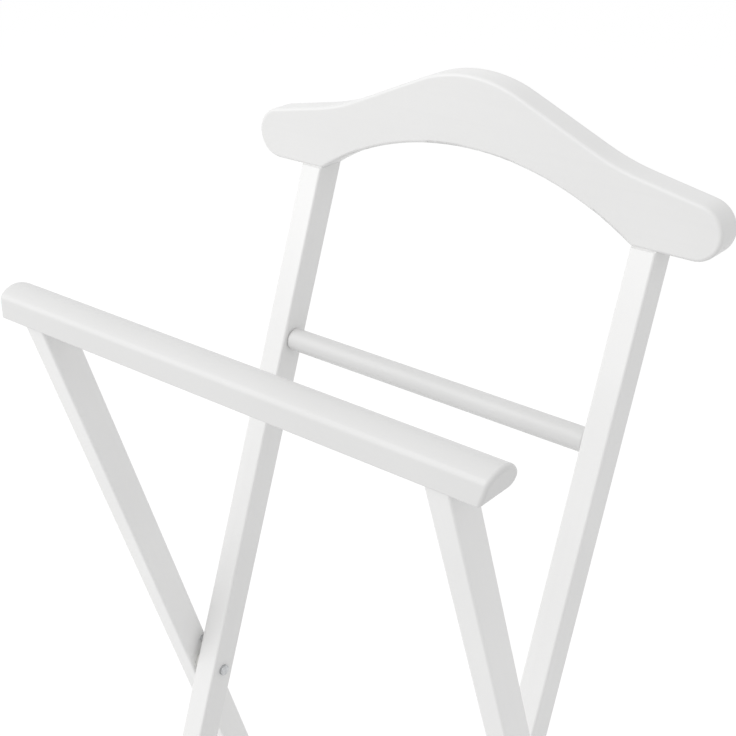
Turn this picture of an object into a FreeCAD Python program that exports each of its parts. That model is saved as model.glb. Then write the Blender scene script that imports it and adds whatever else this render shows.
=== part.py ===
import FreeCAD, Part
import math
import os
import re
import Sketcher

# Folding clothes valet of lacquered wood.
# Two frames cross like an X and turn on two pivots near the middle of their height:
#   the hanger frame leans back and carries a hanger-shaped board,
#   the trouser frame leans forward, stands outside the first and carries the trouser bar.
# Axes: +X to the right, +Y to the back, +Z up.
# Origin: on the floor, in the middle of the space that the open valet takes.
# Lengths are in millimetres and angles in degrees.

SIZES = (
    # the two frames
    ("board_length", 466),       # also the length of the trouser bar's underside
    ("pivot_height", 400),       # pivot axis above the floor
    ("upright_lean", 20),        # hanger frame, backward from the vertical
    ("leg_lean", 18.3),          # trouser frame, forward from the vertical
    ("folded_angle", 6.5),       # between the frames when they are folded
    ("frame_width", 362),        # over the outsides of the two uprights
    ("frame_gap", 6),            # between an upright and the leg beside it
    # the stock that uprights and legs are cut from
    ("upright_width", 22.6),
    ("leg_width", 20.6),
    ("stock_depth", 28),
    ("stock_round", 2),
    # hanger board
    ("board_bottom", 467),       # underside above the pivot axis
    ("board_thickness", 27),
    ("board_height", 110),
    ("crest_radius", 122),
    ("slope_angle", 23.6),
    ("valley_radius", 200),
    ("shoulder_angle", 11),
    ("shoulder_radius", 23),
    ("arch_radius", 282),
    ("arch_rise", 48.5),
    ("arch_corner_round", 5),
    ("board_round", 3),
    # trouser bar, a section with a flat underside, a flat front and three arcs over the top
    ("bar_bottom", 404),         # underside above the pivot axis
    ("bar_depth", 39.9),
    ("bar_front_lean", 10),      # of the flat front, backward from the vertical
    ("bar_front_height", 14.2),  # of the flat front, below the first arc
    ("bar_front_radius", 6.9),
    ("bar_top_radius", 23.8),
    ("bar_back_radius", 8.2),
    ("bar_overhang", 3),         # lower front edge of the bar ahead of the legs
    ("bar_end_slant", 14),       # the ends spread outward, from the underside to the top
    ("bar_lower_round", 1),
    ("bar_end_round", 3),
    # round rails
    ("rail_diameter", 21),
    ("rail_round", 3),
    ("upper_rail_at", 333),      # along the uprights, above the pivot
    ("lower_rail_at", 330),      # along uprights and legs, below the pivot
    ("tenon_diameter", 12),
    ("tenon_length", 12),
    ("tenon_chamfer", 1),
    # dowels of the two top joints
    ("hanger_dowel_diameter", 10),
    ("hanger_dowel_up", 30),
    ("hanger_dowel_down", 22),
    ("bar_dowel_diameter", 8),
    ("bar_dowel_up", 14),
    ("bar_dowel_down", 22),
    ("dowel_chamfer", 0.8),
    ("glue_gap", 0.05),          # all round a glued dowel or tenon
    ("socket_extra", 1),         # a blind bore is this much deeper than what it holds
    # pivots
    ("sleeve_diameter", 7),
    ("bolt_diameter", 5),
    ("bolt_length", 30),
    ("thread_depth", 34),
    ("head_diameter", 10.5),
    ("head_height", 3),
    ("head_round", 1),
    ("hex_width", 3),
    ("hex_depth", 2),
    ("spacer_diameter", 18),
    ("running_gap", 0.1),        # all round a turning sleeve, and between turning faces
    ("thread_gap", 0.05),
    # opening stop: a pin in the leg that runs in a curved groove in the upright
    ("stop_radius", 24),
    ("stop_pin_diameter", 6),
    ("stop_pin_grip", 12),
    ("stop_pin_reach", 5.5),
    ("stop_pin_chamfer", 0.5),
    ("stop_gap", 0.3),           # all round the pin in its groove
    ("stop_slack", 1.5),         # groove beyond the folded pin, degrees
    # glides under the feet
    ("glide_diameter", 18),
    ("glide_height", 4),
    ("glide_round", 1.2),
    ("glide_pin_diameter", 4),
    ("glide_pin_length", 10),
    ("glide_pin_chamfer", 0.8),
)

LEFT = -1
RIGHT = 1
SIDES = ((LEFT, "left"), (RIGHT, "right"))

# Derived sizes, each a formula in the names above.
FOOT_DROP = "(pivot_height - glide_height)"
PIVOT_Y = f"(({FOOT_DROP} - board_bottom) * tan(upright_lean) / 2)"
UPRIGHT_INNER = "(frame_width / 2 - upright_width)"
LEG_INNER = "(frame_width / 2 + frame_gap)"
UPRIGHT_MIDDLE = "(frame_width / 2 - upright_width / 2)"
LEG_MIDDLE = "(frame_width / 2 + frame_gap + leg_width / 2)"
OPEN_ANGLE = "(upright_lean + leg_lean)"
STOP_SWING = f"(({OPEN_ANGLE} - folded_angle) / 2)"
STOP_OFFSET = f"(({OPEN_ANGLE} + folded_angle) / 2)"

doc = FreeCAD.newDocument("ClothesValet")
sheet = doc.addObject("Spreadsheet::Sheet", "Sizes")
for row, (alias, size) in enumerate(SIZES, start=1):
    sheet.set(f"A{row}", alias)
    sheet.set(f"B{row}", str(size))
    sheet.setAlias(f"B{row}", alias)
doc.recompute()

ALIASES = {alias for alias, size in SIZES}
result = doc.addObject("App::FeaturePython", "Result")
result.addProperty("App::PropertyFloat", "Number")
nodes = []


def bind(item, path, text):
    """Tie a property to a formula, in which each size gets the sheet's name before it."""
    named = re.sub(r"[a-z][a-z_]*", lambda m: "Sizes." + m[0] if m[0] in ALIASES else m[0], text)
    item.setExpression(path, named)


def value(text):
    """The number that a formula gives now."""
    bind(result, "Number", text)
    result.recompute()
    return result.Number


# ---------------------------------------------------------------- bodies and sketches

def new_body(label, x="0", y="0", z="0", axis=None, angle="0"):
    """A body at a place, turned about an axis."""
    body = doc.addObject("PartDesign::Body", label)
    body.Label = label
    if axis:
        body.Placement = FreeCAD.Placement(FreeCAD.Vector(), FreeCAD.Rotation(axis, value(angle)))
        bind(body, "Placement.Rotation.Angle", angle)
    for letter, text in (("x", x), ("y", y), ("z", z)):
        bind(body, f"Placement.Base.{letter}", text)
    nodes.append(body)
    return body


def new_sketch(body, role, name, offset="0", tilt="0", tilt_axis=None):
    """A sketch on an origin plane of the body, lifted off it and tilted."""
    sketch = body.newObject("Sketcher::SketchObject", f"{body.Name}_{name}")
    plane = [item for item in body.Origin.OriginFeatures if item.Role == role][0]
    sketch.AttachmentSupport = [(plane, "")]
    sketch.MapMode = "FlatFace"
    if tilt_axis:
        turn = FreeCAD.Rotation(tilt_axis, value(tilt))
        sketch.AttachmentOffset = FreeCAD.Placement(FreeCAD.Vector(), turn)
        bind(sketch, "AttachmentOffset.Rotation.Angle", tilt)
    if offset != "0":
        bind(sketch, "AttachmentOffset.Base.z", offset)
    return sketch


def hold(sketch, kind, geometry, point, text):
    """A distance from the sketch's origin, along X or Y, that follows a formula."""
    if text == "0":
        axis = -2 if kind == "DistanceX" else -1
        sketch.addConstraint(Sketcher.Constraint("PointOnObject", geometry, point, axis))
        return
    index = sketch.addConstraint(Sketcher.Constraint(kind, -1, 1, geometry, point, value(text)))
    bind(sketch, f"Constraints[{index}]", text)


def set_size(sketch, kind, geometry, text):
    """A radius, or a line's angle in degrees, that follows a formula."""
    size = math.radians(value(text)) if kind == "Angle" else value(text)
    index = sketch.addConstraint(Sketcher.Constraint(kind, geometry, size))
    bind(sketch, f"Constraints[{index}]", f"({text}) * 1 deg" if kind == "Angle" else text)


def draw_polygon(sketch, corners):
    """A closed outline of straight lines through corners given as two formulas."""
    points = [(value(x), value(y)) for x, y in corners]
    lines = [sketch.addGeometry(line(points[i - 1], points[i]), False) for i in range(len(points))]
    for i, (x, y) in enumerate(corners):
        sketch.addConstraint(Sketcher.Constraint("Coincident", lines[i - 1], 2, lines[i], 1))
        hold(sketch, "DistanceX", lines[i], 2, x)
        hold(sketch, "DistanceY", lines[i], 2, y)


def draw_circle(sketch, x, y, diameter):
    centre = FreeCAD.Vector(value(x), value(y), 0)
    circle = Part.Circle(centre, FreeCAD.Vector(0, 0, 1), value(diameter) / 2)
    index = sketch.addGeometry(circle, False)
    hold(sketch, "DistanceX", index, 3, x)
    hold(sketch, "DistanceY", index, 3, y)
    set_size(sketch, "Diameter", index, diameter)


def arc(x, y, radius, start, end):
    """A sketch arc about (x, y), its two angles in degrees."""
    circle = Part.Circle(FreeCAD.Vector(x, y, 0), FreeCAD.Vector(0, 0, 1), radius)
    return Part.ArcOfCircle(circle, math.radians(start), math.radians(end))


def line(start, end):
    return Part.LineSegment(FreeCAD.Vector(*start, 0), FreeCAD.Vector(*end, 0))


def pad(body, sketch, length, reverse=False, centred=False):
    feature = body.newObject("PartDesign::Pad", f"{sketch.Name}_pad")
    feature.Profile = sketch
    bind(feature, "Length", length)
    feature.Reversed = reverse
    feature.SideType = "Symmetric" if centred else "One side"
    feature.Refine = True
    doc.recompute()
    return feature


def pocket(body, sketch, length, reverse):
    """Cut a sketch into the body, and make sure that the cut took something away."""
    before = body.Tip.Shape.Volume
    feature = body.newObject("PartDesign::Pocket", f"{sketch.Name}_cut")
    feature.Profile = sketch
    bind(feature, "Length", length)
    feature.Reversed = reverse
    feature.Refine = True
    doc.recompute()
    if feature.Shape.Volume >= before:
        raise RuntimeError(f"{feature.Name} cuts nothing")
    return feature


def round_edges(body, radius, choose, kind="Fillet"):
    """Round or chamfer the edges of the body's last feature that choose() picks."""
    base = body.Tip
    names = [f"Edge{i}" for i, edge in enumerate(base.Shape.Edges, start=1) if choose(edge)]
    if not names:
        raise RuntimeError(f"{body.Name}: no edge to round")
    feature = body.newObject(f"PartDesign::{kind}", f"{base.Name}_{kind.lower()}")
    feature.Base = (base, names)
    bind(feature, "Radius" if kind == "Fillet" else "Size", radius)
    doc.recompute()
    return feature


def runs_along(edge, axis):
    """Whether an edge is a straight line along the axis 0, 1 or 2."""
    if not isinstance(edge.Curve, Part.Line):
        return False
    return abs(abs(edge.Curve.Direction[axis]) - 1) < 1e-6


def lies_at(edge, axis, place):
    """Whether all of an edge lies at one place along the axis 0, 1 or 2."""
    low = (edge.BoundBox.XMin, edge.BoundBox.YMin, edge.BoundBox.ZMin)[axis]
    high = (edge.BoundBox.XMax, edge.BoundBox.YMax, edge.BoundBox.ZMax)[axis]
    return abs(low - place) < 1e-3 and abs(high - place) < 1e-3


def turn_profile(body, corners, upright=False):
    """Revolve a half section: along X about X, or with upright along Z about Z."""
    sketch = new_sketch(body, "XZ_Plane", "profile")
    draw_polygon(sketch, corners)
    feature = body.newObject("PartDesign::Revolution", f"{body.Name}_turned")
    feature.Profile = sketch
    feature.ReferenceAxis = (sketch, ["V_Axis" if upright else "H_Axis"])
    feature.Angle = 360
    doc.recompute()
    return feature


# ---------------------------------------------------------------- uprights and legs

def make_stick(label, side, inner, width, lean, back, top):
    """An upright or a leg: square-edged stock, cut level at the floor and under its top piece.

    Its body stands on the pivot axis at the stick's inner face, with Z along the stick.
    back is 1 for a stick that leans back and -1 for one that leans forward.
    """
    axis = FreeCAD.Vector(-back, 0, 0)
    body = new_body(label, f"{side} * {inner}", PIVOT_Y, "pivot_height", axis, lean)
    front, rear = "-stock_depth / 2", "stock_depth / 2"
    corners = []
    for y, height in ((front, f"-{FOOT_DROP}"), (rear, f"-{FOOT_DROP}"), (rear, top), (front, top)):
        corners.append((y, f"{height} / cos({lean}) + ({y}) * {back} * tan({lean})"))
    sketch = new_sketch(body, "YZ_Plane", "side")
    draw_polygon(sketch, corners)
    pad(body, sketch, width, reverse=side == LEFT)
    round_edges(body, "stock_round", lambda edge: runs_along(edge, 2))
    return body


def bore_side(body, side, name, at, diameter, depth):
    """Bore from a stick's inner face, at a place along the stick."""
    sketch = new_sketch(body, "YZ_Plane", name)
    draw_circle(sketch, "0", at, diameter)
    pocket(body, sketch, depth, reverse=side == RIGHT)


def bore_end(body, side, width, name, lean, back, at, level, diameter, depth, upwards):
    """Bore plumb into a stick's level end; level is how far behind its middle."""
    sketch = new_sketch(body, "XY_Plane", name, f"{at} / cos({lean})", lean,
                        FreeCAD.Vector(back, 0, 0))
    draw_circle(sketch, f"{side} * {width} / 2", level, diameter)
    pocket(body, sketch, depth, reverse=upwards)


def cut_stop_groove(body, side):
    """The curved groove in an upright's outer face, for the stop pin."""
    sketch = new_sketch(body, "YZ_Plane", "groove", f"{side} * upright_width")
    radius, half = value("stop_radius"), value("stop_pin_diameter / 2 + stop_gap")
    swing, slack = value(STOP_SWING), value("stop_slack")
    start, end = 90 - swing - slack, 90 + swing
    first = [radius * math.cos(math.radians(start)), radius * math.sin(math.radians(start))]
    last = [radius * math.cos(math.radians(end)), radius * math.sin(math.radians(end))]
    outer = sketch.addGeometry(arc(0, 0, radius + half, start, end), False)
    far = sketch.addGeometry(arc(*last, half, end, end + 180), False)
    inner = sketch.addGeometry(arc(0, 0, radius - half, start, end), False)
    near = sketch.addGeometry(arc(*first, half, start - 180, start), False)
    spoke = sketch.addGeometry(line((0, 0), first), True)
    other = sketch.addGeometry(line((0, 0), last), True)
    for piece in (outer, inner):
        sketch.addConstraint(Sketcher.Constraint("Coincident", piece, 3, -1, 1))
    for piece in (spoke, other):
        sketch.addConstraint(Sketcher.Constraint("Coincident", piece, 1, -1, 1))
    sketch.addConstraint(Sketcher.Constraint("Coincident", spoke, 2, near, 3))
    sketch.addConstraint(Sketcher.Constraint("Coincident", other, 2, far, 3))
    sketch.addConstraint(Sketcher.Constraint("Tangent", outer, 2, far, 1))
    sketch.addConstraint(Sketcher.Constraint("Tangent", far, 2, inner, 2))
    sketch.addConstraint(Sketcher.Constraint("Tangent", inner, 1, near, 1))
    sketch.addConstraint(Sketcher.Constraint("Tangent", near, 2, outer, 1))
    set_size(sketch, "Radius", outer, "stop_radius + stop_pin_diameter / 2 + stop_gap")
    set_size(sketch, "Radius", inner, "stop_radius - stop_pin_diameter / 2 - stop_gap")
    set_size(sketch, "Angle", spoke, f"90 - {STOP_SWING} - stop_slack")
    set_size(sketch, "Angle", other, f"90 + {STOP_SWING}")
    pocket(body, sketch, "stop_pin_reach + socket_extra", reverse=side == LEFT)


def make_upright(side, word):
    body = make_stick(f"upright_{word}", side, UPRIGHT_INNER, "upright_width", "upright_lean", 1,
                      "board_bottom")
    socket = "tenon_diameter + 2 * glue_gap"
    depth = "tenon_length + socket_extra"
    bore_side(body, side, "pivot", "0", "sleeve_diameter + 2 * running_gap", "upright_width")
    bore_side(body, side, "upper_socket", "upper_rail_at", socket, depth)
    bore_side(body, side, "lower_socket", "-lower_rail_at", socket, depth)
    bore_end(body, side, "upright_width", "dowel", "upright_lean", 1, "board_bottom",
             "-hanger_dowel_down / 2 * tan(upright_lean)",
             "hanger_dowel_diameter + 2 * glue_gap", "hanger_dowel_down + socket_extra", False)
    bore_end(body, side, "upright_width", "glide", "upright_lean", 1, f"-{FOOT_DROP}", "0",
             "glide_pin_diameter + 2 * glue_gap", "glide_pin_length + socket_extra", True)
    cut_stop_groove(body, side)


def make_leg(side, word):
    body = make_stick(f"leg_{word}", side, LEG_INNER, "leg_width", "leg_lean", -1, "bar_bottom")
    bore_side(body, side, "pivot", "0", "sleeve_diameter + 2 * running_gap", "leg_width")
    bore_side(body, side, "lower_socket", "-lower_rail_at", "tenon_diameter + 2 * glue_gap",
              "tenon_length + socket_extra")
    sketch = new_sketch(body, "YZ_Plane", "stop")
    draw_circle(sketch, f"stop_radius * sin({STOP_OFFSET})", f"stop_radius * cos({STOP_OFFSET})",
                "stop_pin_diameter + 2 * glue_gap")
    pocket(body, sketch, "stop_pin_grip + socket_extra", reverse=side == RIGHT)
    bore_end(body, side, "leg_width", "dowel", "leg_lean", -1, "bar_bottom",
             "bar_dowel_down / 2 * tan(leg_lean)",
             "bar_dowel_diameter + 2 * glue_gap", "bar_dowel_down + socket_extra", False)
    bore_end(body, side, "leg_width", "glide", "leg_lean", -1, f"-{FOOT_DROP}", "0",
             "glide_pin_diameter + 2 * glue_gap", "glide_pin_length + socket_extra", True)


# ---------------------------------------------------------------- hanger board

def draw_board_half(sketch):
    """Right half of the board's outline, from its crest to its arch, as tangent arcs and lines."""
    slope, shoulder = math.radians(value("slope_angle")), math.radians(value("shoulder_angle"))
    crest, valley, end_radius = value("crest_radius"), value("valley_radius"), value("shoulder_radius")
    height, arch, rise = value("board_height"), value("arch_radius"), value("arch_rise")
    centre_x = value("board_length / 2") - end_radius
    # how far the outline goes outward and down from the crest to the end arc
    across = centre_x + end_radius * math.sin(shoulder)
    down = height - end_radius - end_radius * math.cos(shoulder)
    # what is left of that for the two straight stretches
    across -= crest * math.sin(slope) + valley * (math.sin(slope) - math.sin(shoulder))
    down -= crest * (1 - math.cos(slope)) + valley * (math.cos(shoulder) - math.cos(slope))
    spread = math.sin(slope - shoulder)
    first = (down * math.cos(shoulder) - across * math.sin(shoulder)) / spread
    a = (crest * math.sin(slope), height - crest * (1 - math.cos(slope)))
    b = (a[0] + first * math.cos(slope), a[1] - first * math.sin(slope))
    valley_x, valley_y = b[0] + valley * math.sin(slope), b[1] + valley * math.cos(slope)
    c = (valley_x - valley * math.sin(shoulder), valley_y - valley * math.cos(shoulder))
    d = (centre_x + end_radius * math.sin(shoulder), end_radius + end_radius * math.cos(shoulder))
    corner = math.sqrt(arch ** 2 - (arch - rise) ** 2)
    reach = math.degrees(math.asin(corner / arch))
    slope_angle, shoulder_angle = value("slope_angle"), value("shoulder_angle")
    pieces = (
        arc(0, height - crest, crest, 90 - slope_angle, 90),
        line(a, b),
        arc(valley_x, valley_y, valley, 270 - slope_angle, 270 - shoulder_angle),
        line(c, d),
        arc(centre_x, end_radius, end_radius, -90, 90 - shoulder_angle),
        line((centre_x, 0), (corner, 0)),
        arc(0, rise - arch, arch, 90 - reach, 90),
        line((0, rise), (0, height)),
    )
    for piece in pieces:
        sketch.addGeometry(piece, False)
    top, fall, dip, shoulder_line, end, bottom, under, middle = range(len(pieces))
    join = sketch.addConstraint
    join(Sketcher.Constraint("Tangent", top, 1, fall, 1))
    join(Sketcher.Constraint("Tangent", fall, 2, dip, 1))
    join(Sketcher.Constraint("Tangent", dip, 2, shoulder_line, 1))
    join(Sketcher.Constraint("Tangent", shoulder_line, 2, end, 2))
    join(Sketcher.Constraint("Tangent", end, 1, bottom, 1))
    join(Sketcher.Constraint("Coincident", bottom, 2, under, 1))
    join(Sketcher.Constraint("Coincident", under, 2, middle, 1))
    join(Sketcher.Constraint("Coincident", middle, 2, top, 2))
    for piece, point in ((top, 3), (under, 3)):
        hold(sketch, "DistanceX", piece, point, "0")
    for point, level in ((1, "arch_rise"), (2, "board_height")):
        hold(sketch, "DistanceX", middle, point, "0")
        hold(sketch, "DistanceY", middle, point, level)
    for point in (1, 2):
        hold(sketch, "DistanceY", bottom, point, "0")
    hold(sketch, "DistanceX", end, 3, "board_length / 2 - shoulder_radius")
    set_size(sketch, "Radius", top, "crest_radius")
    set_size(sketch, "Radius", dip, "valley_radius")
    set_size(sketch, "Radius", end, "shoulder_radius")
    set_size(sketch, "Radius", under, "arch_radius")
    set_size(sketch, "Angle", fall, "-slope_angle")
    set_size(sketch, "Angle", shoulder_line, "-shoulder_angle")


def mirror_across_middle(body):
    """Mirror all that the body holds across its YZ plane."""
    feature = body.newObject("PartDesign::Mirrored", f"{body.Name}_mirrored")
    feature.Originals = [item for item in body.Group if item.isDerivedFrom("PartDesign::Pad")]
    plane = [item for item in body.Origin.OriginFeatures if item.Role == "YZ_Plane"][0]
    feature.MirrorPlane = (plane, [""])
    feature.Refine = True
    body.Tip = feature
    doc.recompute()


def make_hanger_board():
    """The board stands plumb, with its middle plane over the uprights' middle."""
    body = new_body("hanger_board", "0", f"{PIVOT_Y} + board_bottom * tan(upright_lean)",
                    "pivot_height + board_bottom")
    sketch = new_sketch(body, "XZ_Plane", "outline")
    draw_board_half(sketch)
    pad(body, sketch, "board_thickness", centred=True)
    mirror_across_middle(body)
    arch_corner = value("sqrt(arch_radius^2 - (arch_radius - arch_rise)^2)")

    def at_arch_corner(edge):
        return runs_along(edge, 1) and abs(abs(edge.CenterOfMass.x) - arch_corner) < 0.01

    round_edges(body, "arch_corner_round", at_arch_corner)
    face = value("board_thickness / 2")
    round_edges(body, "board_round", lambda edge: lies_at(edge, 1, face) or lies_at(edge, 1, -face))
    for side, word in SIDES:
        sketch = new_sketch(body, "XY_Plane", f"dowel_{word}")
        draw_circle(sketch, f"{side} * {UPRIGHT_MIDDLE}", "-hanger_dowel_down / 2 * tan(upright_lean)",
                    "hanger_dowel_diameter + 2 * glue_gap")
        pocket(body, sketch, "hanger_dowel_up + socket_extra", reverse=True)


# ---------------------------------------------------------------- trouser bar

def draw_bar_section(sketch):
    """Flat underside and front, and three tangent arcs from the front over the top to the back."""
    front, top, back = value("bar_front_radius"), value("bar_top_radius"), value("bar_back_radius")
    height, lean = value("bar_front_height"), value("bar_front_lean")
    set_back = value("bar_front_height * tan(bar_front_lean)")
    front_centre = (set_back + front * math.cos(math.radians(lean)),
                    height - front * math.sin(math.radians(lean)))
    back_centre = (value("bar_depth") - back, back)
    # the top arc's centre is as far from the two others as the radii differ
    apart = math.dist(front_centre, back_centre)
    along = ((top - front) ** 2 - (top - back) ** 2 + apart ** 2) / (2 * apart)
    below = math.sqrt((top - front) ** 2 - along ** 2)
    backward = (back_centre[0] - front_centre[0]) / apart
    upward = (back_centre[1] - front_centre[1]) / apart
    top_centre = (front_centre[0] + along * backward + below * upward,
                  front_centre[1] + along * upward - below * backward)
    angles = []
    for centre in (back_centre, front_centre):
        across, up = centre[0] - top_centre[0], centre[1] - top_centre[1]
        angles.append(math.degrees(math.atan2(up, across)))
    pieces = (
        line((0, 0), (back_centre[0], 0)),
        arc(*back_centre, back, -90, angles[0]),
        arc(*top_centre, top, *angles),
        arc(*front_centre, front, angles[1], 180 - lean),
        line((0, 0), (set_back, height)),
    )
    for piece in pieces:
        sketch.addGeometry(piece, False)
    under, rear, crown, shoulder, face = range(len(pieces))
    join = sketch.addConstraint
    join(Sketcher.Constraint("Tangent", under, 2, rear, 1))
    join(Sketcher.Constraint("Tangent", rear, 2, crown, 1))
    join(Sketcher.Constraint("Tangent", crown, 2, shoulder, 1))
    join(Sketcher.Constraint("Tangent", shoulder, 2, face, 2))
    join(Sketcher.Constraint("Coincident", face, 1, under, 1))
    join(Sketcher.Constraint("Coincident", under, 1, -1, 1))
    hold(sketch, "DistanceY", under, 2, "0")
    hold(sketch, "DistanceY", face, 2, "bar_front_height")
    hold(sketch, "DistanceX", rear, 3, "bar_depth - bar_back_radius")
    set_size(sketch, "Angle", face, "90 - bar_front_lean")
    set_size(sketch, "Radius", rear, "bar_back_radius")
    set_size(sketch, "Radius", crown, "bar_top_radius")
    set_size(sketch, "Radius", shoulder, "bar_front_radius")


def make_trouser_bar():
    """The bar's body has its origin at the front edge of its underside."""
    front = "(bar_bottom * tan(leg_lean) + stock_depth / 2 / cos(leg_lean) + bar_overhang)"
    body = new_body("trouser_bar", "0", f"{PIVOT_Y} - {front}", "pivot_height + bar_bottom")
    sketch = new_sketch(body, "YZ_Plane", "section")
    draw_bar_section(sketch)
    far = "(board_length / 2 + bar_depth * tan(bar_end_slant))"
    pad(body, sketch, f"2 * {far}", centred=True)
    sketch = new_sketch(body, "XZ_Plane", "ends")
    for side, word in SIDES:
        draw_polygon(sketch, ((f"{side} * board_length / 2", "0"), (f"{side} * {far}", "0"),
                              (f"{side} * {far}", "bar_depth")))
    pocket(body, sketch, "bar_depth", reverse=False)
    half, spread = value("board_length / 2"), value("tan(bar_end_slant)")

    def on_slanted_end(edge):
        centre = edge.CenterOfMass
        return abs(abs(centre.x) - half - spread * centre.z) < 0.001

    round_edges(body, "bar_end_round", on_slanted_end)
    round_edges(body, "bar_lower_round", lambda edge: lies_at(edge, 1, 0) and lies_at(edge, 2, 0))
    middle = "(stock_depth / 2 / cos(leg_lean) + bar_overhang + bar_dowel_down / 2 * tan(leg_lean))"
    for side, word in SIDES:
        sketch = new_sketch(body, "XY_Plane", f"dowel_{word}")
        draw_circle(sketch, f"{side} * {LEG_MIDDLE}", middle, "bar_dowel_diameter + 2 * glue_gap")
        pocket(body, sketch, "bar_dowel_up + socket_extra", reverse=True)


# ---------------------------------------------------------------- rails, dowels and fittings

def make_rail(label, inner, lean, back, at):
    """A round rail with a turned tenon at each end, its shoulders against the sticks."""
    y = f"{PIVOT_Y} + ({at}) * {back} * sin({lean})"
    body = new_body(label, "0", y, f"pivot_height + ({at}) * cos({lean})")
    shoulder, tip = inner, f"({inner} + tenon_length)"
    turn_profile(body, (
        (f"-{tip}", "0"), (f"-{tip}", "tenon_diameter / 2"),
        (f"-{shoulder}", "tenon_diameter / 2"), (f"-{shoulder}", "rail_diameter / 2"),
        (shoulder, "rail_diameter / 2"), (shoulder, "tenon_diameter / 2"),
        (tip, "tenon_diameter / 2"), (tip, "0")))
    ends = (value(inner), value(tip))
    radius = value("rail_diameter / 2")

    def outermost(edge, place):
        flat = lies_at(edge, 0, place) or lies_at(edge, 0, -place)
        return flat and isinstance(edge.Curve, Part.Circle)

    round_edges(body, "rail_round",
                lambda edge: outermost(edge, ends[0]) and abs(edge.Curve.Radius - radius) < 0.01)
    round_edges(body, "tenon_chamfer", lambda edge: outermost(edge, ends[1]), "Chamfer")


def make_peg(label, x, y, z, diameter, up, down):
    """A plumb wooden dowel across a joint face at height z."""
    body = new_body(label, x, y, z)
    turn_profile(body, (("0", f"-{down}"), (f"{diameter} / 2", f"-{down}"),
                        (f"{diameter} / 2", up), ("0", up)), upright=True)
    low, high = value(f"-{down}"), value(up)
    round_edges(body, "dowel_chamfer",
                lambda edge: lies_at(edge, 2, low) or lies_at(edge, 2, high), "Chamfer")


def make_glide(label, x, y):
    """A plastic disc under a foot, with a pin that goes up into the wood."""
    body = new_body(label, x, y)
    disc, shank = "glide_diameter / 2", "glide_pin_diameter / 2"
    top = "glide_height + glide_pin_length"
    turn_profile(body, (("0", "0"), (disc, "0"), (disc, "glide_height"),
                        (shank, "glide_height"), (shank, top), ("0", top)), upright=True)
    round_edges(body, "glide_round", lambda edge: lies_at(edge, 2, 0))
    tip = value(top)
    round_edges(body, "glide_pin_chamfer", lambda edge: lies_at(edge, 2, tip), "Chamfer")


def fitting_body(label, side, x):
    """A body on the pivot axis whose X points outward, to the left or to the right."""
    turn = FreeCAD.Vector(0, 0, 1) if side == LEFT else None
    return new_body(label, f"{side} * ({x})", PIVOT_Y, "pivot_height", turn, "180")


def make_sleeve(side, word):
    """The hinge pin: a sleeve nut, its head inside the upright, its mouth flush with the leg."""
    body = fitting_body(f"pivot_sleeve_{word}", side, UPRIGHT_INNER)
    mouth = "(upright_width + leg_width + frame_gap + running_gap)"
    outer, inner = "sleeve_diameter / 2", "bolt_diameter / 2 + thread_gap"
    turn_profile(body, (
        ("-head_height", "0"), ("-head_height", "head_diameter / 2"), ("0", "head_diameter / 2"),
        ("0", outer), (mouth, outer), (mouth, inner),
        (f"{mouth} - thread_depth", inner), (f"{mouth} - thread_depth", "0")))
    crown = value("-head_height")
    round_edges(body, "head_round", lambda edge: lies_at(edge, 0, crown))


def make_bolt(side, word):
    """The bolt that closes the sleeve, with a hexagon socket in its head."""
    body = fitting_body(f"pivot_bolt_{word}", side, f"{LEG_INNER} + leg_width + running_gap")
    shank = "bolt_diameter / 2"
    turn_profile(body, (
        ("-bolt_length", "0"), ("-bolt_length", shank), ("0", shank),
        ("0", "head_diameter / 2"), ("head_height", "head_diameter / 2"), ("head_height", "0")))
    crown = value("head_height")
    round_edges(body, "head_round", lambda edge: lies_at(edge, 0, crown))
    sketch = new_sketch(body, "YZ_Plane", "hexagon", "head_height")
    corner = "hex_width / 2 / cos(30)"
    draw_polygon(sketch, [(f"{corner} * cos({60 * i})", f"{corner} * sin({60 * i})")
                          for i in (0.5, 1.5, 2.5, 3.5, 4.5, 5.5)])
    pocket(body, sketch, "hex_depth", reverse=False)


def make_spacer(side, word):
    """A plastic ring on the sleeve, between upright and leg."""
    body = fitting_body(f"pivot_spacer_{word}", side, "frame_width / 2")
    inner, outer = "sleeve_diameter / 2 + running_gap", "spacer_diameter / 2"
    face = "frame_gap - running_gap"
    turn_profile(body, (("0", inner), ("0", outer), (face, outer), (face, inner)))


def make_stop_pin(side, word):
    """The steel pin in the leg, at its place in the groove when the valet is open."""
    angle = f"(leg_lean - {STOP_OFFSET})"
    turn = FreeCAD.Vector(0, 0, 1) if side == LEFT else None
    body = new_body(f"stop_pin_{word}", f"{side} * {LEG_INNER}",
                    f"{PIVOT_Y} - stop_radius * sin({angle})",
                    f"pivot_height + stop_radius * cos({angle})", turn, "180")
    inner, outer = "-(frame_gap + stop_pin_reach)", "stop_pin_grip"
    shank = "stop_pin_diameter / 2"
    turn_profile(body, ((inner, "0"), (inner, shank), (outer, shank), (outer, "0")))
    ends = (value(inner), value(outer))
    round_edges(body, "stop_pin_chamfer",
                lambda edge: lies_at(edge, 0, ends[0]) or lies_at(edge, 0, ends[1]), "Chamfer")


# ---------------------------------------------------------------- the valet

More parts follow.
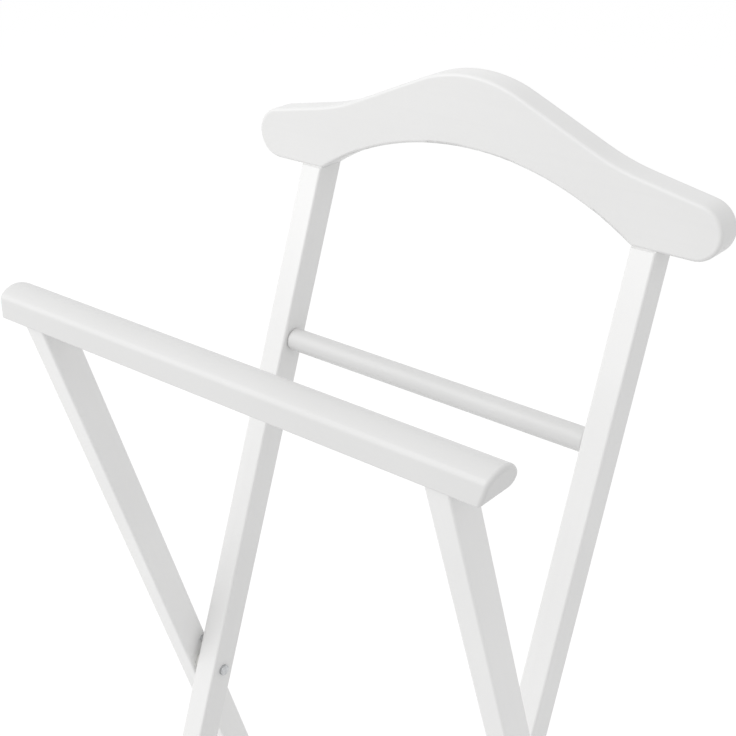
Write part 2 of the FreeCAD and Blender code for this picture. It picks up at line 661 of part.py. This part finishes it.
make_hanger_board()
make_trouser_bar()
make_rail("upper_rail", UPRIGHT_INNER, "upright_lean", 1, "upper_rail_at")
make_rail("lower_front_rail", UPRIGHT_INNER, "upright_lean", 1, "-lower_rail_at")
make_rail("lower_rear_rail", LEG_INNER, "leg_lean", -1, "-lower_rail_at")
for side, word in SIDES:
    make_upright(side, word)
    make_leg(side, word)
    make_sleeve(side, word)
    make_bolt(side, word)
    make_spacer(side, word)
    make_stop_pin(side, word)
    make_peg(f"hanger_dowel_{word}", f"{side} * {UPRIGHT_MIDDLE}",
             f"{PIVOT_Y} + (board_bottom - hanger_dowel_down / 2) * tan(upright_lean)",
             "pivot_height + board_bottom", "hanger_dowel_diameter",
             "hanger_dowel_up", "hanger_dowel_down")
    make_peg(f"bar_dowel_{word}", f"{side} * {LEG_MIDDLE}",
             f"{PIVOT_Y} - (bar_bottom - bar_dowel_down / 2) * tan(leg_lean)",
             "pivot_height + bar_bottom", "bar_dowel_diameter",
             "bar_dowel_up", "bar_dowel_down")
    make_glide(f"glide_front_{word}", f"{side} * {UPRIGHT_MIDDLE}",
               f"{PIVOT_Y} - {FOOT_DROP} * tan(upright_lean)")
    make_glide(f"glide_rear_{word}", f"{side} * {LEG_MIDDLE}",
               f"{PIVOT_Y} + {FOOT_DROP} * tan(leg_lean)")

doc.recompute()
for item in doc.Objects:
    if "Invalid" in item.State or "Error" in item.State:
        raise RuntimeError(f"{item.Name}: {item.State}")
for node in nodes:
    if node.Shape.isNull() or not node.Shape.isValid() or len(node.Shape.Solids) != 1:
        raise RuntimeError(f"{node.Label} is not one valid solid")

os.makedirs("parts", exist_ok=True)
for node in nodes:
    node.Shape.exportStep(f"parts/{node.Label}.step")
    box = node.Shape.BoundBox
    print(f"{node.Label:20s} {node.Shape.Volume / 1000:8.2f} cm3"
          f"  X {box.XMin:8.2f} {box.XMax:8.2f}  Y {box.YMin:8.2f} {box.YMax:8.2f}"
          f"  Z {box.ZMin:8.2f} {box.ZMax:8.2f}")
print(f"pivot axis at Y {value(PIVOT_Y):.3f}, Z {value('pivot_height'):.1f}")
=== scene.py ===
# %% [markdown]
# # A folding clothes valet in white lacquer
#
# The valet is two wooden frames that cross like an X. The frame that leans back carries a board
# shaped like a coat hanger, the one that leans forward carries a bar for trousers, and both turn
# on two pivots. Its wood, steel and plastic are already modelled as solids, so this lesson is about
# finish and light: a lacquer that shows the wood under it a little, four small fillings where the
# lacquer gathers, plated steel, plastic, and a plain white studio that lets pale surfaces keep
# their shading.
#
# The first cell loads the solids. Each one is an object at the origin with its place in its mesh.

import math

import bpy
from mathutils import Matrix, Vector


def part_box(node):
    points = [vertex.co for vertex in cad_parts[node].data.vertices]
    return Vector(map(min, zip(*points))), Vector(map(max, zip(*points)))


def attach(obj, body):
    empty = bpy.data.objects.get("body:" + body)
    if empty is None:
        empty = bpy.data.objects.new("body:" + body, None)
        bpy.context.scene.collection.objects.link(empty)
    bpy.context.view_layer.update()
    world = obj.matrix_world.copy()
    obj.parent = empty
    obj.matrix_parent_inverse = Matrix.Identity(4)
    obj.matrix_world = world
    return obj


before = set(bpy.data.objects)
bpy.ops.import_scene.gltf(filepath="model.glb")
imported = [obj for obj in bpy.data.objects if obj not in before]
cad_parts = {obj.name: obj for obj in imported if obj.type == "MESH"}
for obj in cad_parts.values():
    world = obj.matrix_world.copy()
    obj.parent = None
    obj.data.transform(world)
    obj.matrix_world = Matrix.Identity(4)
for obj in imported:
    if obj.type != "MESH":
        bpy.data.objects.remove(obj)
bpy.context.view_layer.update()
bpy.ops.object.select_all(action="DESELECT")
print("loaded", len(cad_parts), "solids:", ", ".join(sorted(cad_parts)))

# %% [markdown]
# ## Directions of the wood
#
# Grain runs along a piece of wood. The board, the bar and the rails lie along X, and the dowels
# stand along Z. Uprights and legs slant, and their slant follows from two points that the frame
# already holds: the pivot and the middle of a rail that joins the two sticks.

# %% Where the grain runs
X_AXIS = Vector((1, 0, 0))
Z_AXIS = Vector((0, 0, 1))


def middle_of(node):
    """The middle of a solid's box."""
    low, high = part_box(node)
    return (low + high) / 2


pivot = middle_of("pivot_spacer_left")
pivot.x = 0
grain_of_uprights = (middle_of("upper_rail") - pivot).normalized()
grain_of_legs = (pivot - middle_of("lower_rear_rail")).normalized()
print("pivot axis", [round(1000 * c, 1) for c in pivot], "mm")
for name, grain in (("uprights", grain_of_uprights), ("legs", grain_of_legs)):
    lean = math.degrees(math.atan2(grain.y, grain.z))
    print(f"the {name} lean {lean:.1f} degrees to the back")

# %% [markdown]
# ## Camera
#
# The camera stands to the right in front of the valet, a little above the board, and looks down on
# it. It is set by its place, its heading to the left of straight back, and its tilt downwards.

# %% Camera
VIEW_FROM = pivot + Vector((0.6434, -0.7666, 0.8546))
VIEW_HEADING = 39.0
VIEW_DOWN = 25.7
LENS = 68.56
SENSOR_WIDTH = 36
NEAREST_SEEN = 0.05

camera = bpy.data.objects.new("camera", bpy.data.cameras.new("camera"))
bpy.context.scene.collection.objects.link(camera)
camera.location = VIEW_FROM
camera.rotation_euler = (math.radians(90 - VIEW_DOWN), 0, math.radians(VIEW_HEADING))
camera.data.lens = LENS
camera.data.sensor_width = SENSOR_WIDTH
camera.data.clip_start = NEAREST_SEEN
bpy.context.scene.camera = camera
print("camera at", [round(c, 3) for c in camera.location], "with a lens of", LENS, "mm")

# %% [markdown]
# ## Node helpers
#
# A material is a small graph. These helpers add a node with its settings, link two sockets, and
# make the noises that the finishes share. All patterns read Object coordinates in metres, so a
# scale of 100 gives features of about a centimetre, and the pattern stays on a piece that moves.

# %% Node helpers
MIX_FAC, MIX_FIRST, MIX_SECOND, MIX_RESULT = 0, 6, 7, 2   # a Mix node's sockets for colours
NOISE_LOW, NOISE_HIGH = 0.3, 0.7                          # most of a noise lies between these


def add_node(graph, kind, numbers=None, **settings):
    """Add a node, set its properties, and set its unlinked inputs by name or place."""
    node = graph.nodes.new("ShaderNode" + kind)
    for name, setting in settings.items():
        setattr(node, name, setting)
    for name, number in (numbers or {}).items():
        node.inputs[name].default_value = number
    return node


def link(graph, source, target):
    """Feed an output into an input."""
    graph.links.new(source, target)


def start_finish(name):
    """A new material, its graph, its Principled shader and its Object coordinates."""
    finish = bpy.data.materials.new(name)
    finish.use_nodes = True
    graph = finish.node_tree
    shader = graph.nodes["Principled BSDF"]
    coordinates = add_node(graph, "TexCoord").outputs["Object"]
    return finish, graph, shader, coordinates


def turned_to_grain(graph, coordinates, grain):
    """Coordinates whose X runs along the grain."""
    turn = grain.rotation_difference(X_AXIS).to_euler()
    mapping = add_node(graph, "Mapping", {"Rotation": turn})
    link(graph, coordinates, mapping.inputs["Vector"])
    return mapping.outputs["Vector"]


def noise(graph, coordinates, scale, detail, stretch=1):
    """Soft noise from 0 to 1; a stretch draws it out along X."""
    mapping = add_node(graph, "Mapping", {"Scale": (1 / stretch, 1, 1)})
    link(graph, coordinates, mapping.inputs["Vector"])
    texture = add_node(graph, "TexNoise", {"Scale": scale, "Detail": detail})
    link(graph, mapping.outputs["Vector"], texture.inputs["Vector"])
    return texture.outputs["Fac"]


def spread(graph, fac, low, high, from_low=NOISE_LOW, from_high=NOISE_HIGH):
    """Turn a noise into a number between low and high."""
    ramp = add_node(graph, "MapRange", {"From Min": from_low, "From Max": from_high,
                                        "To Min": low, "To Max": high})
    link(graph, fac, ramp.inputs["Value"])
    return ramp.outputs["Result"]


def blend_colours(graph, fac, first, second):
    """Go from the first colour to the second as fac goes from 0 to 1."""
    mix = add_node(graph, "Mix", data_type="RGBA")
    for place, colour in ((MIX_FIRST, first), (MIX_SECOND, second)):
        if isinstance(colour, tuple):
            mix.inputs[place].default_value = (*colour, 1)
        else:
            link(graph, colour, mix.inputs[place])
    link(graph, fac, mix.inputs[MIX_FAC])
    return mix.outputs[MIX_RESULT]


def bump(graph, height, depth, below=None):
    """Raise the surface by height times depth, in metres, on top of another bump."""
    node = add_node(graph, "Bump", {"Strength": 1.0, "Distance": depth})
    link(graph, height, node.inputs["Height"])
    if below:
        link(graph, below, node.inputs["Normal"])
    return node.outputs["Normal"]


print("node helpers are ready")

# %% [markdown]
# ## White satin lacquer
#
# The wood is sprayed white and rubbed down between coats. What tells it from plastic is small: long
# shallow streaks and short pores where the grain swelled under the first coat, the fine ripple that
# spray leaves when it dries, a gloss that changes a little from place to place, and a white that is
# not quite even. Streaks, pores and ripple are one noise each, and the patches of gloss and white
# share a fourth. Streaks and pores are drawn out along the grain, so there is one lacquer for each
# direction of the wood. Each group of pieces also gets its own white. The paint is one white, and
# the differences between these whites are painted light and shade: the uprights and legs lighter,
# the bar and the rails darker.

# %% White satin lacquer
WARMTH = (1.0, 0.998, 0.993)
THIN_COAT = 0.957        # how bright a thin coat is beside a full one
STREAKS = {"scale": 240, "detail": 3, "stretch": 28}
PORES = {"scale": 1100, "detail": 2, "stretch": 14}
RIPPLE = {"scale": 520, "detail": 1}
PATCHES = {"scale": 9, "detail": 2}
THIN_IN_PATCHES = 0.5    # the share of thin coat in a patch, and on a streak
THIN_ON_STREAKS = 0.25
STREAK_RANGE = (0.5, 0.8)
SATIN = (0.36, 0.44)     # roughness from the glossiest place to the dullest
STREAK_DEPTH = 0.00006
PORE_DEPTH = 0.000012
RIPPLE_DEPTH = 0.00002
COAT_WEIGHT = 0.15
COAT_ROUGHNESS = 0.22

# each group of pieces with its white, the direction of its grain, and its pieces;
# the whites differ as painted light and shade: uprights and legs lighter, bar and rails darker
LACQUER_GROUPS = (
    ("board", 0.82, X_AXIS, ("hanger_board",)),
    ("bar", 0.735, X_AXIS, ("trouser_bar",)),
    ("rails", 0.71, X_AXIS, ("upper_rail", "lower_front_rail", "lower_rear_rail")),
    ("uprights", 0.86, grain_of_uprights, ("upright_left", "upright_right")),
    ("legs", 0.905, grain_of_legs, ("leg_left", "leg_right")),
)


def make_lacquer(name, grain, white_and_painted_light):
    """White lacquer over wood whose grain runs one way; its white holds painted light and shade."""
    finish, graph, shader, coordinates = start_finish(name)
    # this white is partly the paint's own and partly painted light and shade for this group of
    # pieces
    full_coat = tuple(white_and_painted_light * part for part in WARMTH)
    thin_coat = tuple(THIN_COAT * part for part in full_coat)
    along = turned_to_grain(graph, coordinates, grain)
    streaks = noise(graph, along, **STREAKS)
    pores = noise(graph, along, **PORES)
    ripple = noise(graph, coordinates, **RIPPLE)
    patches = noise(graph, coordinates, **PATCHES)
    in_patches = spread(graph, patches, 0, THIN_IN_PATCHES)
    on_streaks = spread(graph, streaks, 0, THIN_ON_STREAKS, *STREAK_RANGE)
    colour = blend_colours(graph, in_patches, full_coat, thin_coat)
    colour = blend_colours(graph, on_streaks, colour, thin_coat)
    link(graph, colour, shader.inputs["Base Color"])
    link(graph, spread(graph, patches, *SATIN), shader.inputs["Roughness"])
    normal = None
    for height, depth in ((streaks, STREAK_DEPTH), (pores, PORE_DEPTH), (ripple, RIPPLE_DEPTH)):
        normal = bump(graph, height, depth, normal)
    link(graph, normal, shader.inputs["Normal"])
    shader.inputs["Coat Weight"].default_value = COAT_WEIGHT
    shader.inputs["Coat Roughness"].default_value = COAT_ROUGHNESS
    return finish


def paint(finish, *names):
    """Give solids one material."""
    for name in names:
        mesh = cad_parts[name].data
        mesh.materials.clear()
        mesh.materials.append(finish)
    print(f"{finish.name}: {len(names)} pieces")


lacquers = {}
for group, white_and_painted_light, grain, pieces in LACQUER_GROUPS:
    lacquers[group] = make_lacquer(f"lacquer_of_the_{group}", grain, white_and_painted_light)
    paint(lacquers[group], *pieces)

# %% [markdown]
# ## Lacquer in the joints
#
# The board's lower edges are rounded and the uprights' tops are flat, so a small wedge stays open
# where they meet, at the front and at the back. On the real stand the last coat fills it to a
# hollow line. Here each filling is a strip just under three millimetres deep: a cube at its size
# and place, whose outer upper edge gets a bevel. A bevel with a low profile number curves inward,
# as a wet film does.

# %% Lacquer in the joints
FILLING_LEDGE = 0.0001   # how far it stands out of the face of the board
FILLING_DEPTH = 0.0029
FILLING_HEIGHT = 0.0016
FILLING_INSET = 0.0005   # how much shorter it is than the upright is wide
HOLLOW_SIZE = 0.0014
HOLLOW_STEPS = 5
HOLLOW_PROFILE = 0.1     # 0.5 is round, 0.25 is flat, and less is hollow
SAME_PLACE = 0.00001


def hollow_out(filling, out):
    """Bevel the outer upper edge of a strip to a hollow."""
    mesh = filling.data
    outermost = max(out * vertex.co.y for vertex in mesh.vertices)
    highest = max(vertex.co.z for vertex in mesh.vertices)
    bpy.ops.object.mode_set(mode="EDIT")
    bpy.ops.mesh.select_mode(type="EDGE")
    bpy.ops.mesh.select_all(action="DESELECT")
    bpy.ops.object.mode_set(mode="OBJECT")
    for edge in mesh.edges:
        ends = [mesh.vertices[i].co for i in edge.vertices]
        edge.select = all(abs(out * end.y - outermost) < SAME_PLACE
                          and abs(end.z - highest) < SAME_PLACE for end in ends)
    bpy.ops.object.mode_set(mode="EDIT")
    bpy.ops.mesh.bevel(offset=HOLLOW_SIZE, segments=HOLLOW_STEPS, profile=HOLLOW_PROFILE,
                       affect="EDGES")
    bpy.ops.object.mode_set(mode="OBJECT")


def make_filling(name, upright, out):
    """Fill one wedge; out is -1 at the front of the board and 1 at its back."""
    board_low, board_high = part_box("hanger_board")
    upright_low, upright_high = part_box(upright)
    face = board_low.y if out < 0 else board_high.y
    bpy.ops.object.select_all(action="DESELECT")
    bpy.ops.mesh.primitive_cube_add(size=1)
    filling = bpy.context.object
    filling.name = name
    filling.scale = (upright_high.x - upright_low.x - FILLING_INSET, FILLING_DEPTH, FILLING_HEIGHT)
    filling.location = ((upright_low.x + upright_high.x) / 2,
                        face + out * (FILLING_LEDGE - FILLING_DEPTH / 2),
                        upright_high.z + FILLING_HEIGHT / 2)
    bpy.ops.object.transform_apply(location=True, rotation=False, scale=True)
    hollow_out(filling, out)
    filling.data.materials.append(lacquers["board"])
    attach(filling, "hanger_frame")
    return filling


for side in ("left", "right"):
    for place, out in (("front", -1), ("back", 1)):
        filling = make_filling(f"joint_filling_{side}_{place}", f"upright_{side}", out)
        print(filling.name, "with", len(filling.data.polygons), "faces")

# %% [markdown]
# ## Bare beech
#
# The dowels sit inside the joints and stay unpainted: pale pinkish brown with short dark flecks,
# grain upright.

# %% Bare beech
BEECH_PALE = (0.62, 0.43, 0.27)
BEECH_FLECK = (0.40, 0.24, 0.13)
FLECKS = {"scale": 1500, "detail": 2, "stretch": 6}
FLECK_RANGE = (0.55, 0.75)
BARE_WOOD = (0.5, 0.7)   # roughness beside a fleck and on it
FLECK_DEPTH = 0.00005


def make_beech():
    """Beech as it comes from the lathe."""
    finish, graph, shader, coordinates = start_finish("bare_beech")
    flecks = noise(graph, turned_to_grain(graph, coordinates, Z_AXIS), **FLECKS)
    on_flecks = spread(graph, flecks, 0, 1, *FLECK_RANGE)
    link(graph, blend_colours(graph, on_flecks, BEECH_PALE, BEECH_FLECK),
         shader.inputs["Base Color"])
    link(graph, spread(graph, flecks, *BARE_WOOD), shader.inputs["Roughness"])
    link(graph, bump(graph, flecks, FLECK_DEPTH), shader.inputs["Normal"])
    return finish


paint(make_beech(), "hanger_dowel_left", "hanger_dowel_right", "bar_dowel_left", "bar_dowel_right")

# %% [markdown]
# ## Zinc-plated steel
#
# Sleeves, bolts and stop pins are cheap plated steel: bright but not a mirror, a little cloudy, with
# turning marks. The marks are rings about the pivots' axis, a wave of the distance to it. On the
# stop pins, which lie beside that axis, they are arcs.

# %% Zinc-plated steel
ZINC = (0.60, 0.61, 0.62)
ZINC_DULL = (0.48, 0.49, 0.50)
CLOUDS = {"scale": 300, "detail": 3}
PLATED = (0.24, 0.4)     # roughness from the brightest place to the dullest
TURNING_MARKS = {"Scale": 420, "Distortion": 1.5, "Detail": 2.0}
MARK_DEPTH = 0.00001


def make_zinc():
    """Plated steel with turning marks about the pivots' axis."""
    finish, graph, shader, coordinates = start_finish("zinc_plated_steel")
    centred = add_node(graph, "Mapping", {"Location": (0, -pivot.y, -pivot.z)})
    link(graph, coordinates, centred.inputs["Vector"])
    rings = add_node(graph, "TexWave", TURNING_MARKS, wave_type="RINGS", rings_direction="X")
    link(graph, centred.outputs["Vector"], rings.inputs["Vector"])
    clouds = noise(graph, coordinates, **CLOUDS)
    colour = blend_colours(graph, spread(graph, clouds, 0, 1), ZINC, ZINC_DULL)
    link(graph, colour, shader.inputs["Base Color"])
    link(graph, spread(graph, clouds, *PLATED), shader.inputs["Roughness"])
    link(graph, bump(graph, rings.outputs["Fac"], MARK_DEPTH), shader.inputs["Normal"])
    shader.inputs["Metallic"].default_value = 1.0
    return finish


paint(make_zinc(), "pivot_sleeve_left", "pivot_sleeve_right", "pivot_bolt_left",
      "pivot_bolt_right", "stop_pin_left", "stop_pin_right")

# %% [markdown]
# ## Moulded plastic
#
# The spacers are white nylon and the glides under the feet a dark grey plastic. Both are moulded,
# with the fine even grit of a blasted mould. A scuff makes the white greyer, the dark grey paler,
# and both of them duller.

# %% Moulded plastic
NYLON_WHITE = (0.80, 0.80, 0.77)
NYLON_ROUGHNESS = 0.42
GLIDE_GREY = (0.085, 0.085, 0.09)
GLIDE_ROUGHNESS = 0.5
GRIT = {"scale": 2600, "detail": 2}
GRIT_DEPTH = 0.00003
SCUFFS = {"scale": 160, "detail": 3}
SCUFF_KEEPS = 0.85       # the share of the colour that a scuff keeps
SCUFF_ADDS = 0.03        # the grey that it adds
SCUFF_DULLS = 0.12       # the roughness that it adds


def make_plastic(name, colour, roughness):
    """Moulded plastic with scuffs."""
    finish, graph, shader, coordinates = start_finish(name)
    grit = noise(graph, coordinates, **GRIT)
    scuffs = noise(graph, coordinates, **SCUFFS)
    worn = tuple(SCUFF_KEEPS * part + SCUFF_ADDS for part in colour)
    link(graph, blend_colours(graph, spread(graph, scuffs, 0, 1), colour, worn),
         shader.inputs["Base Color"])
    link(graph, spread(graph, scuffs, roughness, roughness + SCUFF_DULLS),
         shader.inputs["Roughness"])
    link(graph, bump(graph, grit, GRIT_DEPTH), shader.inputs["Normal"])
    return finish


paint(make_plastic("white_nylon", NYLON_WHITE, NYLON_ROUGHNESS),
      "pivot_spacer_left", "pivot_spacer_right")
paint(make_plastic("grey_plastic", GLIDE_GREY, GLIDE_ROUGHNESS),
      "glide_front_left", "glide_front_right", "glide_rear_left", "glide_rear_right")

# %% [markdown]
# ## White studio
#
# The valet is pale, so the room must be paler still without more light on the wood. Rays from the
# camera, and those that a polished or clear surface sends on, see a white world. All other rays
# meet a softer one, which lights the wood. To the rays that see the white world, the floor is half
# a glow of its own and half its lit colour: together they are just white, and the shadows at the
# feet stay.

# %% World and floor
bpy.context.scene.view_settings.view_transform = "Standard"
WHITE = (1, 1, 1, 1)
ROOM_LIGHT = 0.79
FLOOR_SIZE = 40
FLOOR_COLOUR = (0.76, 0.76, 0.76, 1)
FLOOR_ROUGHNESS = 0.9
FLOOR_GLOW = 1.38
GLOW_SHARE = 0.5


def seen_directly(graph):
    """1 for rays from the camera and for reflected or refracted ones, 0 for all others."""
    path = add_node(graph, "LightPath")
    seen = path.outputs["Is Camera Ray"]
    for kind in ("Is Glossy Ray", "Is Transmission Ray"):
        either = add_node(graph, "Math", operation="MAXIMUM")
        link(graph, seen, either.inputs[0])
        link(graph, path.outputs[kind], either.inputs[1])
        seen = either.outputs[0]
    return seen


def mix_shaders(graph, fac, first, second, output):
    """Send the first shader to the output where fac is 0, and the second where it is 1."""
    mix = add_node(graph, "MixShader")
    for place, source in enumerate((fac, first, second)):
        link(graph, source, mix.inputs[place])
    link(graph, mix.outputs[0], graph.nodes[output].inputs["Surface"])


def make_room():
    """A world that is white to look at and softer as a light."""
    room = bpy.data.worlds.new("white_room")
    room.use_nodes = True
    graph = room.node_tree
    lit = graph.nodes["Background"]
    lit.inputs["Color"].default_value = WHITE
    lit.inputs["Strength"].default_value = ROOM_LIGHT
    white = add_node(graph, "Background", {"Color": WHITE, "Strength": 1.0})
    mix_shaders(graph, seen_directly(graph), lit.outputs[0], white.outputs[0], "World Output")
    bpy.context.scene.world = room


def make_floor():
    """A pale floor that is white to look at and still takes a shadow."""
    bpy.ops.mesh.primitive_plane_add(size=FLOOR_SIZE)
    floor = bpy.context.object
    floor.name = "floor"
    finish, graph, shader = start_finish("studio_floor")[:3]
    shader.inputs["Base Color"].default_value = FLOOR_COLOUR
    shader.inputs["Roughness"].default_value = FLOOR_ROUGHNESS
    shader.inputs["Specular IOR Level"].default_value = 0.0
    glow = add_node(graph, "Emission", {"Strength": FLOOR_GLOW})
    share = add_node(graph, "Math", {1: GLOW_SHARE}, operation="MULTIPLY")
    link(graph, seen_directly(graph), share.inputs[0])
    mix_shaders(graph, share.outputs[0], shader.outputs[0], glow.outputs[0], "Material Output")
    floor.data.materials.append(finish)


make_room()
make_floor()
print("room light", ROOM_LIGHT, "and a floor of", FLOOR_SIZE, "m")

# %% [markdown]
# ## Lamp
#
# One large soft lamp hangs at the front left, about 35 degrees up, as the light of a tall window
# would fall. Faces that look forward and up get the most of it: the top of the bar and the fronts
# of the uprights. The right sides stay in half shade.

# %% Lamp
LAMP_FROM = Vector((-1.6, -2.1, 2.6))
LAMP_AIM = Vector((0, 0, 0.7))
LAMP_SIZE = 3.0
LAMP_POWER = 45

lamp = bpy.data.objects.new("window_lamp", bpy.data.lights.new("window_lamp", "AREA"))
bpy.context.scene.collection.objects.link(lamp)
lamp.data.shape = "SQUARE"
lamp.data.size = LAMP_SIZE
lamp.data.energy = LAMP_POWER
lamp.location = LAMP_FROM
lamp.rotation_euler = (LAMP_AIM - LAMP_FROM).to_track_quat("-Z", "Y").to_euler()
print(f"{lamp.name}: {LAMP_POWER} W, {LAMP_SIZE} m wide")
